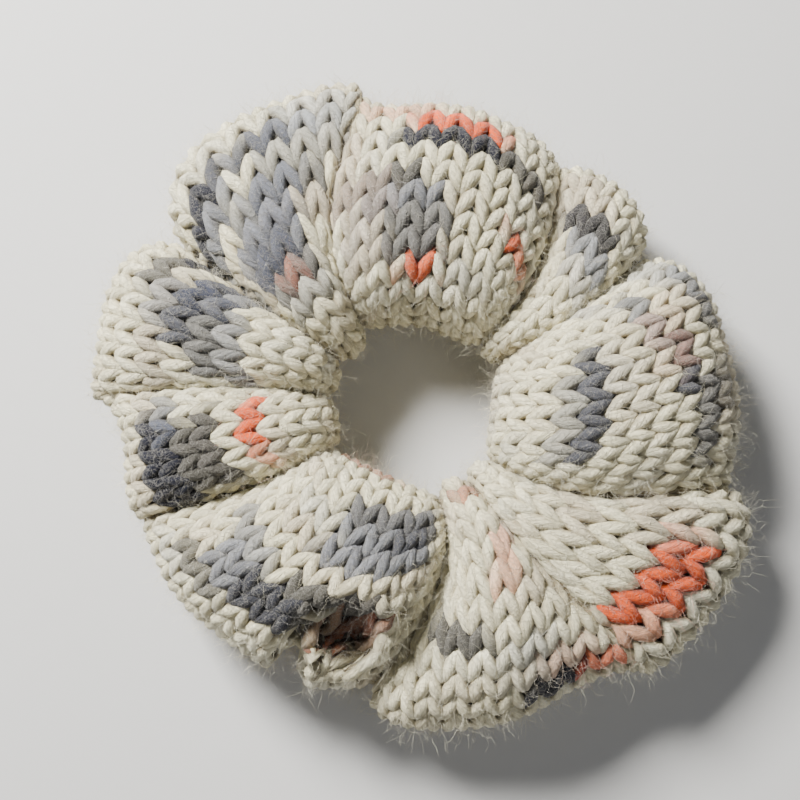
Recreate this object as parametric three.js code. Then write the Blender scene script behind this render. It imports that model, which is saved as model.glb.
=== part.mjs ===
/**
 * Knitted scrunchie.
 *
 * A tube of hand-knit stocking stitch is closed round an elastic hair tie. The tie is much
 * shorter than the tube, so the knitting gathers into nine puffed lobes with deep folds
 * between them. Units are millimetres, +Z is up and the scrunchie lies flat on Z = 0.
 */
import * as THREE from 'three';
import { LoftGeometry } from 'three/addons/geometries/LoftGeometry.js';

// ---------------------------------------------------------------- driving sizes

/** Elastic hair tie. */
const TIE_RING_RADIUS = 21.5; // hole centre to the middle of the cord
const CORE_RADIUS = 1.3; // bundle of rubber threads
const CORE_GAP = 0.3; // slack between the rubber and the braid
const SHEATH_WALL = 0.5; // braided sleeve over the rubber
const JOINT_GAP = 0.3; // tie to the moulded sleeve that joins its ends
const JOINT_WALL = 0.7;
const JOINT_LENGTH = 9;

/** Knitted cover. */
const COVER_WALL = 2.4; // thickness of the knitted fabric
const TIE_CLEARANCE = 0.8; // room round the tie where the cover is drawn in
const FLOUNCE_WIDTH = 36; // average reach of the lobes beyond the tie
const PUFF_HEIGHT = 14; // average rise of the lobes over the tie
const HOLE_PUFF = 3; // how far the lobes bulge into the hole
const REST_SAG = 1.5; // how much of the underside is pressed flat where it lies
const REST_DROP = 4.7; // lowest point of a fold above the table

/** Finishing yarn: the seam and the ends darned in on the wrong side. */
const SEAM_YARN_RADIUS = 0.7;
const TAIL_YARN_RADIUS = 0.9;
const YARN_GAP = 0.3;

/** Gap left between neighbouring sections of one knitted, braided or rubber part. */
const CUT_GAP = 0.3;

/** Where the seam and the tails lie, as angles round the cross-section of the cover. */
const SEAM_ANGLE = THREE.MathUtils.degToRad(222);
const TAIL_ANGLES = { cast_on_tail: THREE.MathUtils.degToRad(196), bind_off_tail: THREE.MathUtils.degToRad(252) };

/**
 * Folds in order round the ring. `rim` and `edge` are the bearings, in degrees, at the hole
 * and at the outer edge; `reach` is the share of the flounce width the fold runs out to, and
 * `depth` says how sharply it is drawn in at the hole and at the edge, from 0 to 1.
 */
const FOLDS = [
  { rim: 42, edge: 61, reach: 0.7, depth: [1, 1] },
  { rim: 124, edge: 100, reach: 1, depth: [1, 0.25] },
  { rim: 150, edge: 145, reach: 0.72, depth: [0.5, 1] },
  { rim: 176, edge: 179, reach: 0.94, depth: [0.9, 0.8] },
  { rim: 210, edge: 203, reach: 0.8, depth: [1, 0.8] },
  { rim: 284, edge: 258, reach: 0.72, depth: [1, 1] },
  { rim: 304, edge: 310, reach: 1.04, depth: [0.9, 0.15] },
  { rim: 322, edge: 344, reach: 0.95, depth: [0.9, 0.35] },
  { rim: 386, edge: 394, reach: 0.7, depth: [0.9, 0.9] },
];

/**
 * Lobes in order round the ring; lobe i runs from fold i to fold i + 1. `stitches` is the
 * number of knitted columns it takes up, `reach` and `puff` are its shares of the flounce
 * width and of the puff height.
 */
const LOBES = [
  { name: '1', stitches: 10, reach: 0.86, puff: 1.1 },
  { name: '2', stitches: 8, reach: 1.06, puff: 0.88 },
  { name: '3', stitches: 8, reach: 0.97, puff: 0.92 },
  { name: '4', stitches: 6, reach: 0.8, puff: 0.88 },
  { name: '5', stitches: 12, reach: 0.82, puff: 1.15, splitAtTieJoint: true },
  { name: '6', stitches: 12, reach: 0.91, puff: 0.95 },
  { name: '7', stitches: 6, reach: 1.11, puff: 0.8 },
  { name: '8', stitches: 12, reach: 0.91, puff: 1.05 },
  { name: '9', stitches: 6, reach: 0.85, puff: 0.8 },
];

/** The lobe that holds the two darned-in tails, and the share of its width each one covers. */
const TAIL_LOBE = '8';
const TAIL_SPANS = { cast_on_tail: [-0.55, 0.3], bind_off_tail: [-0.35, 0.5] };

/** Facets round the cover's cross-section and round the cords. */
const COVER_FACETS = 20;
const CORD_FACETS = 8;

// ---------------------------------------------------------------- derived sizes

const SHEATH_INNER = CORE_RADIUS + CORE_GAP;
const TIE_CORD_RADIUS = SHEATH_INNER + SHEATH_WALL;
const FOLD_HALF_HEIGHT = TIE_CORD_RADIUS + TIE_CLEARANCE + COVER_WALL;
const TIE_HEIGHT = FOLD_HALF_HEIGHT + REST_DROP;
const FOLD_RIM = TIE_RING_RADIUS - FOLD_HALF_HEIGHT;
const LOBE_RIM = FOLD_RIM - HOLE_PUFF;
const MEAN_REACH = TIE_RING_RADIUS + FLOUNCE_WIDTH;
const LOBE_PEAK = TIE_RING_RADIUS + FLOUNCE_WIDTH * 0.24;

// ---------------------------------------------------------------- shapes of the cover

/** A power that keeps the sign of its base. */
const signedPower = (value, power) => Math.sign(value) * Math.abs(value) ** power;

/**
 * A point of an egg-shaped cross-section, as distance from the hole's axis and height.
 * `angle` runs from the outer edge over the top, through the hole side and back beneath.
 */
function egg(angle, { centre, inner, outer, top, bottom, roundness }) {
  const across = signedPower(Math.cos(angle), 2 / roundness);
  const up = signedPower(Math.sin(angle), 2 / roundness);
  return {
    r: centre + across * (across > 0 ? outer - centre : centre - inner),
    z: TIE_HEIGHT + up * (up > 0 ? top : bottom),
  };
}

/** Cross-section of the cover drawn tight at a fold; `inset` gives the inner face. */
function pinchedSection(angle, fold, inset) {
  return egg(angle, {
    centre: TIE_RING_RADIUS,
    inner: FOLD_RIM + inset,
    outer: TIE_RING_RADIUS + FLOUNCE_WIDTH * fold.reach - inset,
    top: FOLD_HALF_HEIGHT - inset,
    bottom: FOLD_HALF_HEIGHT - inset,
    roundness: 2,
  });
}

/** Part way from one point of a cross-section to another. */
const between = (a, b, share) => ({ r: a.r + (b.r - a.r) * share, z: a.z + (b.z - a.z) * share });

/** Cross-section of the cover at a fold, between the lobes before and after it. */
function foldSection(angle, index, inset) {
  const fold = FOLDS[index % FOLDS.length];
  const before = LOBES[(index + LOBES.length - 1) % LOBES.length];
  const after = LOBES[index % LOBES.length];
  const puff = (before.puff + after.puff) / 2;
  const open = crestSection(angle, { reach: fold.reach, puff }, inset);
  const outwards = (1 + Math.cos(angle)) / 2;
  const depth = fold.depth[0] + (fold.depth[1] - fold.depth[0]) * outwards;
  return between(open, pinchedSection(angle, fold, inset), depth);
}

/** Cross-section of the cover along the crest of a lobe. */
function crestSection(angle, lobe, inset) {
  return egg(angle, {
    centre: LOBE_PEAK,
    inner: LOBE_RIM + inset,
    outer: TIE_RING_RADIUS + FLOUNCE_WIDTH * lobe.reach - inset,
    top: PUFF_HEIGHT * lobe.puff - inset,
    bottom: TIE_HEIGHT + REST_SAG - inset,
    roundness: 2.3,
  });
}

/** Bearing of a fold, in radians, at a distance from the hole's axis. */
function foldBearing(fold, r) {
  const share = THREE.MathUtils.smoothstep(r, FOLD_RIM, MEAN_REACH);
  return THREE.MathUtils.degToRad(fold.rim + (fold.edge - fold.rim) * share);
}

/** The two folds at the sides of a lobe; the last one wraps past a full turn. */
function foldsOf(index) {
  const last = index === LOBES.length - 1;
  const next = FOLDS[(index + 1) % FOLDS.length];
  const turn = last ? 360 : 0;
  const shift = (fold, by) => ({ ...fold, rim: fold.rim + by, edge: fold.edge + by });
  return [FOLDS[index], shift(next, turn)];
}

/**
 * A point on the knitted cover of one lobe.
 *
 * `across` runs from -1 at the first fold to 1 at the second, `angle` goes round the
 * cross-section, `inset` is 0 on the outside and the fabric's thickness on the inside, and
 * `span` is the stretch of `across` the section covers, kept half a cut short at both ends.
 */
function coverPoint(index, across, angle, inset, span = [-1, 1]) {
  const lobe = LOBES[index];
  const [first, second] = foldsOf(index);
  const crest = crestSection(angle, lobe, inset);
  const sides = [foldSection(angle, index, inset), foldSection(angle, index + 1, inset)];
  const fold = between(sides[0], sides[1], (across + 1) / 2);
  const halfWidth = (crest.r * (foldBearing(second, crest.r) - foldBearing(first, crest.r))) / 2;
  const depth = Math.hypot(crest.r - fold.r, crest.z - fold.z);
  const swell = Math.tanh((1.3 * halfWidth) / Math.max(depth, 0.01));
  const bow = (1 - across * across) ** (inset > 0 ? 0.8 : 0.5) * swell;
  const { r, z: height } = between(fold, crest, bow);
  const z = Math.max(height, inset);
  const from = foldBearing(first, r);
  const width = foldBearing(second, r) - from;
  const start = from + (width * (span[0] + 1)) / 2 + CUT_GAP / 2 / r;
  const end = from + (width * (span[1] + 1)) / 2 - CUT_GAP / 2 / r;
  const bearing = start + ((end - start) * (across - span[0])) / (span[1] - span[0]);
  return new THREE.Vector3(r * Math.cos(bearing), r * Math.sin(bearing), z);
}

// ---------------------------------------------------------------- building blocks

/** Volume enclosed by an indexed geometry, negative when its faces point inwards. */
function signedVolume(geometry) {
  const points = geometry.getAttribute('position');
  const order = geometry.getIndex();
  const [a, b, c] = [new THREE.Vector3(), new THREE.Vector3(), new THREE.Vector3()];
  let sum = 0;
  for (let i = 0; i < order.count; i += 3) {
    a.fromBufferAttribute(points, order.getX(i));
    b.fromBufferAttribute(points, order.getX(i + 1));
    c.fromBufferAttribute(points, order.getX(i + 2));
    sum += a.dot(b.cross(c));
  }
  return sum / 6;
}


/** Evenly spaced numbers from `first` to `last`. */
const steps = (first, last, count) =>
  Array.from({ length: count + 1 }, (_, i) => first + ((last - first) * i) / count);

/**
 * A thick wall bent round a closed cross-section and left open at both ends, like a slice of
 * hose. `wall(angle)` returns the closed outline of the wall at one angle of that section.
 */
function hoseSlice(wall, facets) {
  const angles = steps(0, 2 * Math.PI, facets);
  const sections = angles.map((angle) => wall(angle % (2 * Math.PI)));
  const geometry = new LoftGeometry(sections);
  if (signedVolume(geometry) > 0) return geometry;
  return new LoftGeometry(sections.map((section) => [...section].reverse()));
}

/** A solid cord along a line of points, with flat ends square to its headings. */
function cord(points, radius, headings = []) {
  const path = new THREE.CatmullRomCurve3(points);
  const count = points.length - 1;
  const up = new THREE.Vector3(0, 0, 1);
  const sections = steps(0, 1, count).map((t, i) => {
    const along = headings[i] ?? path.getTangent(t);
    const side = new THREE.Vector3().crossVectors(along, up).normalize();
    const rise = new THREE.Vector3().crossVectors(along, side);
    return steps(0, 2 * Math.PI, CORD_FACETS).slice(0, -1).map((angle) =>
      points[i].clone()
        .addScaledVector(side, radius * Math.cos(angle))
        .addScaledVector(rise, radius * Math.sin(angle)));
  });
  return new LoftGeometry(sections, { capStart: true, capEnd: true });
}

/** A stretch of the tie's circle, as points `count` steps apart. */
function tieArc(from, to, count) {
  return steps(from, to, count).map((bearing) =>
    new THREE.Vector3(TIE_RING_RADIUS * Math.cos(bearing), TIE_RING_RADIUS * Math.sin(bearing), TIE_HEIGHT));
}

/** The headings at the points of `tieArc`. */
function tieHeadings(from, to, count) {
  return steps(from, to, count).map((bearing) => new THREE.Vector3(-Math.sin(bearing), Math.cos(bearing), 0));
}

/** A hose between two radii along a stretch of the tie's circle. */
function tieHose(from, to, count, outer, inner) {
  const at = (bearing, angle, radius) => {
    const r = TIE_RING_RADIUS + radius * Math.cos(angle);
    return new THREE.Vector3(r * Math.cos(bearing), r * Math.sin(bearing), TIE_HEIGHT + radius * Math.sin(angle));
  };
  const bearings = steps(from, to, count);
  return hoseSlice((angle) => [
    ...bearings.map((bearing) => at(bearing, angle, outer)),
    ...[...bearings].reverse().map((bearing) => at(bearing, angle, inner)),
  ], CORD_FACETS + 4);
}

// ---------------------------------------------------------------- materials

const material = (color, roughness) => new THREE.MeshStandardMaterial({ color, roughness });
const WOOL = () => material(0xd8d0bf, 0.95);
const BRAID = () => material(0xcfc9bd, 0.8);
const RUBBER = () => material(0xb9a98c, 0.7);
const JOINT = () => material(0xe2ddd0, 0.5);

// ---------------------------------------------------------------- the parts

const scrunchie = new THREE.Group();
scrunchie.name = 'scrunchie';

/** Adds a named body to the scrunchie. */
function add(name, geometry, finish) {
  const mesh = new THREE.Mesh(geometry, finish);
  mesh.name = name;
  scrunchie.add(mesh);
}

/** Knitted cover of one lobe, or of part of it, with one facet for each column of stitches. */
function coverSection(index, span, columns) {
  const reach = span.map((across) => Math.asin(across));
  const places = steps(reach[0], reach[1], columns).map((turn) => Math.sin(turn));
  return hoseSlice((angle) => [
    ...places.map((across) => coverPoint(index, across, angle, 0, span)),
    ...[...places].reverse().map((across) => coverPoint(index, across, angle, COVER_WALL, span)),
  ], COVER_FACETS);
}

/** A yarn laid along the cover, `lift` outside its outer face or inside its inner face. */
function yarnAlong(index, span, angle, radius, inside, count) {
  const inset = inside ? COVER_WALL : 0;
  const lift = (YARN_GAP + radius) * (inside ? -1 : 1);
  const points = steps(span[0], span[1], count).map((across) => {
    const here = coverPoint(index, across, angle, inset);
    const before = coverPoint(index, across, angle - 0.05, inset);
    const after = coverPoint(index, across, angle + 0.05, inset);
    const left = coverPoint(index, across - 0.02, angle, inset);
    const right = coverPoint(index, across + 0.02, angle, inset);
    const outwards = after.sub(before).cross(right.sub(left)).normalize();
    const section = new THREE.Vector3(here.x, here.y, 0).normalize();
    const middle = section.clone().multiplyScalar(TIE_RING_RADIUS).setZ(TIE_HEIGHT);
    if (outwards.dot(here.clone().sub(middle)) < 0) outwards.negate();
    return here.addScaledVector(outwards, lift);
  });
  return cord(points, radius);
}

LOBES.forEach((lobe, index) => {
  const [first, second] = foldsOf(index);
  const slice = CUT_GAP / 2 / (TIE_RING_RADIUS - TIE_CORD_RADIUS);
  const spans = lobe.splitAtTieJoint
    ? [{ suffix: '_a', span: [-1, 0] }, { suffix: '_b', span: [0, 1] }]
    : [{ suffix: '', span: [-1, 1] }];
  for (const { suffix, span } of spans) {
    const columns = (lobe.stitches * (span[1] - span[0])) / 2;
    const [low, high] = [foldBearing(first, TIE_RING_RADIUS), foldBearing(second, TIE_RING_RADIUS)];
    const [from, to] = span.map((across) => low + ((high - low) * (across + 1)) / 2);
    const tieSteps = Math.max(2, Math.round(((to - from) * TIE_RING_RADIUS) / 4));
    const label = lobe.name + suffix;
    add(`cover_${label}`, coverSection(index, span, columns), WOOL());
    add(`tie_braid_${label}`, tieHose(from + slice, to - slice, tieSteps, TIE_CORD_RADIUS, SHEATH_INNER), BRAID());
    const stretch = [from + slice, to - slice, tieSteps];
    add(`tie_core_${label}`, cord(tieArc(...stretch), CORE_RADIUS, tieHeadings(...stretch)), RUBBER());
    const halfArc = (FOLD_RIM * (foldBearing(second, FOLD_RIM) - foldBearing(first, FOLD_RIM))) / 2;
    const margin = (2 * SEAM_YARN_RADIUS + YARN_GAP + CUT_GAP) / halfArc;
    const seam = [span[0] < 0 ? margin - 1 : YARN_GAP / halfArc, span[1] > 0 ? 1 - margin : -YARN_GAP / halfArc];
    add(`seam_yarn_${label}`, yarnAlong(index, seam, SEAM_ANGLE, SEAM_YARN_RADIUS, false, columns), WOOL());
    if (suffix === '_a') {
      const halfJoint = JOINT_LENGTH / 2 / TIE_RING_RADIUS;
      const outer = TIE_CORD_RADIUS + JOINT_GAP + JOINT_WALL;
      add('tie_joint', tieHose(to - halfJoint, to + halfJoint, 4, outer, TIE_CORD_RADIUS + JOINT_GAP), JOINT());
    }
  }
  if (lobe.name === TAIL_LOBE) {
    for (const [name, span] of Object.entries(TAIL_SPANS)) {
      add(name, yarnAlong(index, span, TAIL_ANGLES[name], TAIL_YARN_RADIUS, true, 8), WOOL());
    }
  }
});

/** The origin sits on the table under the middle of the whole scrunchie. */
const extent = new THREE.Box3().setFromObject(scrunchie);
const middle = extent.getCenter(new THREE.Vector3());
scrunchie.position.set(-middle.x, -middle.y, -extent.min.z);

export default scrunchie;
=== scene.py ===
"""Knitted scrunchie: gathered tube of speckled wool closed round an elastic hair tie."""

import logging
import math
from dataclasses import dataclass, field
from enum import Enum

import bpy
import numpy as np
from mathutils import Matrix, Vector


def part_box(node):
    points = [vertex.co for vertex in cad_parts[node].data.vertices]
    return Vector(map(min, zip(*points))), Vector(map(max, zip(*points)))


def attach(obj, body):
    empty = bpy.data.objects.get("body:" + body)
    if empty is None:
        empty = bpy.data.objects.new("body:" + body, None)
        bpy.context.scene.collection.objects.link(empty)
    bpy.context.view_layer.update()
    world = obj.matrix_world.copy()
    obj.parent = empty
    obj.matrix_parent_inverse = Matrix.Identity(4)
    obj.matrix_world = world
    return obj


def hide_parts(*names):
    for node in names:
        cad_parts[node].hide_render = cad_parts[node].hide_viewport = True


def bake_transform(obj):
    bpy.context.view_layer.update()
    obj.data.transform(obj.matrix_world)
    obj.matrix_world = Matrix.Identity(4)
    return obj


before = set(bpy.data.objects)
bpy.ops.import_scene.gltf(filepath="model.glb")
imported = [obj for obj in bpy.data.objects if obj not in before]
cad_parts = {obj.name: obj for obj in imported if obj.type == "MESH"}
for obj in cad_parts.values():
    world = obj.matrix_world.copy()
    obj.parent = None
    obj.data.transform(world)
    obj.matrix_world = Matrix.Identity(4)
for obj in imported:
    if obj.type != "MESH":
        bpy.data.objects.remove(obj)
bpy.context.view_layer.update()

MM = 0.001
LOBES = 9
log = logging.getLogger("scrunchie")
Rgb = tuple[float, float, float]
Place = tuple[float, float, float]
Array = np.ndarray
Piece = bpy.types.Object
Mesh = bpy.types.Mesh


class Sock:
    """A node socket that makes Math nodes when it is used in sums.

    Args:
        tree: The tree the socket is in.
        link: The output socket.
    """

    def __init__(self, tree: "Tree", link: bpy.types.NodeSocket) -> None:
        self.tree = tree
        self.link = link

    def __getitem__(self, name: str) -> "Sock":
        """Another output of the same node."""
        return Sock(self.tree, self.link.node.outputs[name])

    def math(self, operation: str, *others: "Sock | float") -> "Sock":
        """Make a Math node with this socket as its first value.

        Args:
            operation: The node's operation.
            others: The values after the first.

        Returns:
            The node's output.
        """
        return self.tree.add("ShaderNodeMath", {"operation": operation}, dict(enumerate((self, *others))))

    def __add__(self, other: "Sock | float") -> "Sock":
        """Sum of two values."""
        return self.math("ADD", other)

    def __sub__(self, other: "Sock | float") -> "Sock":
        """Difference of two values."""
        return self.math("SUBTRACT", other)

    def __rsub__(self, other: float) -> "Sock":
        """A number less this value."""
        return self.math("MULTIPLY_ADD", -1.0, other)

    def __mul__(self, other: "Sock | float") -> "Sock":
        """Product of two values."""
        return self.math("MULTIPLY", other)

    def __truediv__(self, other: "Sock | float") -> "Sock":
        """Quotient of two values."""
        return self.math("DIVIDE", other)

    __radd__ = __add__
    __rmul__ = __mul__


class Tree:
    """Builds a node tree from Python calls.

    Args:
        nodes: A material's or modifier's node tree.
    """

    def __init__(self, nodes: bpy.types.NodeTree) -> None:
        self.nodes = nodes

    def add(self, kind: str, settings: dict[str, object] | None = None,
            values: dict[int | str, object] | None = None) -> Sock:
        """Add a node, set it up and link it.

        Args:
            kind: The node's type.
            settings: Its own settings.
            values: What its inputs are given, as in feed.

        Returns:
            Its first output.
        """
        node = self.nodes.nodes.new(kind)
        for name, value in (settings or {}).items():
            setattr(node, name, value)
        self.feed(node, values or {})
        shown = [socket for socket in node.outputs if socket.enabled] or node.inputs
        return Sock(self, shown[0])

    def feed(self, node: bpy.types.Node, values: dict[int | str, object]) -> None:
        """Set or link a node's inputs.

        Args:
            node: The node.
            values: Numbers, colours or sockets for its inputs, by number or name.
        """
        shown = [socket for socket in node.inputs if socket.enabled]
        for place, value in values.items():
            socket = shown[place] if isinstance(place, int) else next(s for s in shown if s.name == place)
            if isinstance(value, Sock):
                self.nodes.links.new(value.link, socket)
            else:
                socket.default_value = value

    def noise(self, where: Sock, scale: float, detail: float) -> Sock:
        """Cloudy noise from 0 to 1."""
        return self.add("ShaderNodeTexNoise", None, {"Vector": where, "Scale": scale, "Detail": detail})

    def named(self, name: str, kind: str = "FLOAT") -> Sock:
        """An attribute of the geometry."""
        return self.add("GeometryNodeInputNamedAttribute", {"data_type": kind}, {"Name": name})

    def bump(self, height: Sock, strength: float, relief: float) -> Sock:
        """Fine relief for a shader's normal."""
        return self.add("ShaderNodeBump", None, {"Strength": strength, "Distance": relief, "Height": height})

    def scaled(self, vector: Sock, by: Sock | float) -> Sock:
        """A vector times a number."""
        return self.add("ShaderNodeVectorMath", {"operation": "SCALE"}, {"Vector": vector, "Scale": by})

    def joined(self, operation: str, first: Sock, second: Sock | tuple) -> Sock:
        """Sum or difference of two vectors."""
        return self.add("ShaderNodeVectorMath", {"operation": operation}, {0: first, 1: second})

    def vector(self, x: Sock | float, y: Sock | float, z: Sock | float) -> Sock:
        """A vector from three values."""
        return self.add("ShaderNodeCombineXYZ", None, {0: x, 1: y, 2: z})

    def mix(self, share: Sock | float, first: Sock | tuple, second: Sock | tuple, blend: str = "MIX") -> Sock:
        """Mix two colours.

        Args:
            share: How much of the second.
            first: The first colour.
            second: The second colour.
            blend: The way they are mixed.

        Returns:
            The mixed colour.
        """
        first, second = (c if isinstance(c, Sock) else (*c, 1.0) for c in (first, second))
        return self.add("ShaderNodeMix", {"data_type": "RGBA", "blend_type": blend},
                        {"Factor": share, "A": first, "B": second})


@dataclass(frozen=True)
class Finish:
    """What every finish shares: its name, gloss and fuzz."""

    name: str
    roughness: float = 0.92
    sheen: float = 0.25

    def start(self) -> tuple[bpy.types.Material, Tree, bpy.types.Node]:
        """A new material with its tree and shader."""
        made = bpy.data.materials.new(self.name)
        made.use_nodes = True
        tree = Tree(made.node_tree)
        shader = made.node_tree.nodes["Principled BSDF"]
        tree.feed(shader, {"Roughness": self.roughness, "Sheen Weight": self.sheen, "Sheen Roughness": 0.5,
                           "Specular IOR Level": 0.25})
        return made, tree, shader


@dataclass(frozen=True)
class Wool(Finish):
    """Plied wool whose dye comes with the yarn; that colour already carries painted shade, and the grooves
    between the plies get more painted shade here.

    The "twist" UV map runs round the yarn across and along it up, in yarn lengths of 10 mm.
    """

    plies: int = 7
    turns: float = 0.7
    relief: float = 0.00035
    shade: float = 0.34
    fuzz: float = 0.20
    fluff: Rgb = (0.74, 0.70, 0.60)

    def curls(self, tree: Tree, where: Sock, scale: float, width: float) -> Sock:
        """Thin curled lines, as of single fibres lying on the wool.

        Args:
            tree: The material's tree.
            where: Object coordinates.
            scale: How many curls to a metre.
            width: How wide a line is.

        Returns:
            1 on a fibre and 0 between.
        """
        away = (tree.noise(where, scale, 1.5) - 0.5).math("ABSOLUTE")
        return (1.0 - away / width).math("MAXIMUM", 0.0)

    def build(self) -> bpy.types.Material:
        """The finished material."""
        made, tree, shader = self.start()
        place = tree.add("ShaderNodeUVMap", {"uv_map": "twist"})
        across = tree.add("ShaderNodeSeparateXYZ", None, {0: place})
        along = across["Y"]
        spiral = across * float(self.plies) + along * (self.turns * self.plies)
        ridge = (spiral * math.pi).math("SINE").math("ABSOLUTE").math("POWER", 0.6)
        fibre = tree.noise(tree.vector(spiral, along * 1.1, across * 0.5), 7.5, 3.0)
        where = tree.add("ShaderNodeTexCoord")["Object"]
        long_curls = self.curls(tree, where, 620.0, 0.020)
        loose = long_curls.math("MAXIMUM", self.curls(tree, where, 1500.0, 0.030))
        height = ridge * 0.35 + fibre * 0.8 + loose * 0.5
        # The dye attribute is the yarn's dye with painted shade multiplied in.
        dye = tree.add("ShaderNodeAttribute", {"attribute_name": "dye"})
        # Painted shade: darker in the grooves between the plies, with blue taken down most in the dark; the
        # fibre noise adds a random tone.
        depth = ridge * (self.shade * 0.28) + (fibre - 0.5) * (self.shade * 2.4) + (1.0 - self.shade * 0.22)
        blue = depth * depth * 0.2 + depth * 0.78
        painted_shade_tint = tree.add("ShaderNodeCombineColor", None, {0: depth, 1: depth * 0.985, 2: blue})
        shaded_dye = tree.mix(1.0, dye, painted_shade_tint, "MULTIPLY")
        tree.feed(shader, {"Base Color": tree.mix(loose * self.fuzz, shaded_dye, self.fluff),
                           "Normal": tree.bump(height, 0.9, self.relief)})
        return made


@dataclass(frozen=True)
class Fibres(Finish):
    """Loose hairs of the wool, coloured by the dye at their root, painted shade included."""

    lighten: float = 0.35
    fluff: Rgb = (0.82, 0.79, 0.73)

    def build(self) -> bpy.types.Material:
        """The finished material."""
        made, tree, shader = self.start()
        # The dye attribute carries the stitches' painted shade.
        dye = tree.add("ShaderNodeAttribute", {"attribute_name": "dye"})
        patches = tree.noise(tree.add("ShaderNodeTexCoord")["Object"], 700.0, 1.0)
        tree.feed(shader, {"Base Color": tree.mix(patches * (2.0 * self.lighten), dye, self.fluff),
                           "Roughness": patches * 0.2 + 0.6})
        return made


@dataclass(frozen=True)
class Plain(Finish):
    """A solid stuff with fine mottling and grain, for the tie's inner parts."""

    colour: Rgb = (0.6, 0.56, 0.48)
    spread: float = 0.18
    grain: float = 2500.0
    relief: float = 0.00006

    def build(self) -> bpy.types.Material:
        """The finished material."""
        made, tree, shader = self.start()
        where = tree.add("ShaderNodeTexCoord")["Object"]
        cloud = tree.noise(where, 260.0, 4.0)
        fine = tree.noise(where, self.grain, 2.0)
        dark, light = (tuple(min(1.0, channel * (1 + by)) for channel in self.colour)
                       for by in (-self.spread, self.spread))
        tree.feed(shader, {"Base Color": tree.mix(cloud, dark, light),
                           "Normal": tree.bump(fine + cloud, 0.6, self.relief),
                           "Roughness": fine * 0.3 + (self.roughness - 0.15)})
        return made


class Stuff(Enum):
    """The finishes of the scrunchie and of the table it lies on."""

    WOOL = Wool("speckled plied wool", sheen=0.18)
    # The wrong side's finish paints stronger shade into its ply grooves.
    BACK = Wool("wool on the wrong side", shade=0.5, relief=0.0002)
    HAIR = Fibres("loose wool hairs", sheen=0.1)
    BRAID = Plain("braided polyester", 0.75, 0.3, (0.60, 0.57, 0.50), 0.12, 3000.0)
    RUBBER = Plain("natural rubber thread", 0.6, 0.0, (0.52, 0.42, 0.28), 0.15, 1800.0)
    JOINT = Plain("moulded tie joint", 0.45, 0.0, (0.72, 0.69, 0.62), 0.06, 1500.0)
    TABLE = Plain("pale matt table", 0.85, 0.0, (0.60, 0.60, 0.60), 0.015, 900.0, 0.00001)

    @property
    def material(self) -> bpy.types.Material:
        """The material, made the first time it is asked for."""
        return bpy.data.materials.get(self.value.name) or self.value.build()


def unit(vectors: Array) -> Array:
    """Vectors brought to length one."""
    return vectors / np.maximum(np.linalg.norm(vectors, axis=-1, keepdims=True), 1e-9)


def travelled(lines: Array) -> Array:
    """Distance along each line of points."""
    steps = np.linalg.norm(np.diff(lines, axis=1), axis=2)
    return np.concatenate([np.zeros((len(lines), 1)), np.cumsum(steps, axis=1)], axis=1)


def quads(high: int, wide: int) -> Array:
    """Faces of a grid of points that are numbered row by row."""
    corner = (np.arange(high - 1)[:, None] * wide + np.arange(wide - 1)[None, :]).ravel()
    return np.stack([corner, corner + 1, corner + wide + 1, corner + wide], axis=1)


def put(name: str, points: Array, faces: list | Array, stuff: Stuff) -> Piece:
    """Make a smooth mesh object at the origin.

    Args:
        name: The piece's name.
        points: Its vertices in metres.
        faces: Its faces as rows of vertex numbers.
        stuff: Its finish.

    Returns:
        The new object.
    """
    mesh = bpy.data.meshes.new(name)
    mesh.from_pydata(points.tolist(), [], faces if isinstance(faces, list) else faces.tolist())
    mesh.materials.append(stuff.material)
    mesh.shade_smooth()
    made = bpy.data.objects.new(name, mesh)
    bpy.context.scene.collection.objects.link(made)
    return made


def values_of(items: bpy.types.bpy_prop_collection, key: str, width: int = 1, kind: type = np.int32) -> Array:
    """One property of all the points, corners or faces of a mesh."""
    values = np.zeros(len(items) * width, kind)
    items.foreach_get(key, values)
    return values


def store(mesh: Mesh, name: str, kind: str, key: str, values: Array) -> None:
    """Store a value at each point.

    Args:
        mesh: The mesh.
        name: The attribute's name.
        kind: Its type.
        key: The property that holds a value of that type.
        values: The values, point by point.
    """
    layer = mesh.attributes.get(name) or mesh.attributes.new(name, kind, "POINT")
    layer.data.foreach_set(key, values.astype(np.float32).ravel())


def paint(mesh: Mesh, colours: Array) -> None:
    """Store a colour, as red, green and blue, at each point, as the dye attribute; on the stitches and the
    lining it is the dye with painted shade multiplied in.
    """
    store(mesh, "dye", "FLOAT_COLOR", "color", np.concatenate([colours, np.ones((len(colours), 1))], axis=1))


def unwrap(mesh: Mesh, name: str, places: Array) -> None:
    """Store a UV map, one row for each face corner."""
    old = mesh.attributes.get(name)
    if old:
        mesh.attributes.remove(old)
    layer = mesh.uv_layers.new(name=name)
    layer.data.foreach_set("uv", places.astype(np.float32).ravel())


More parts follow.
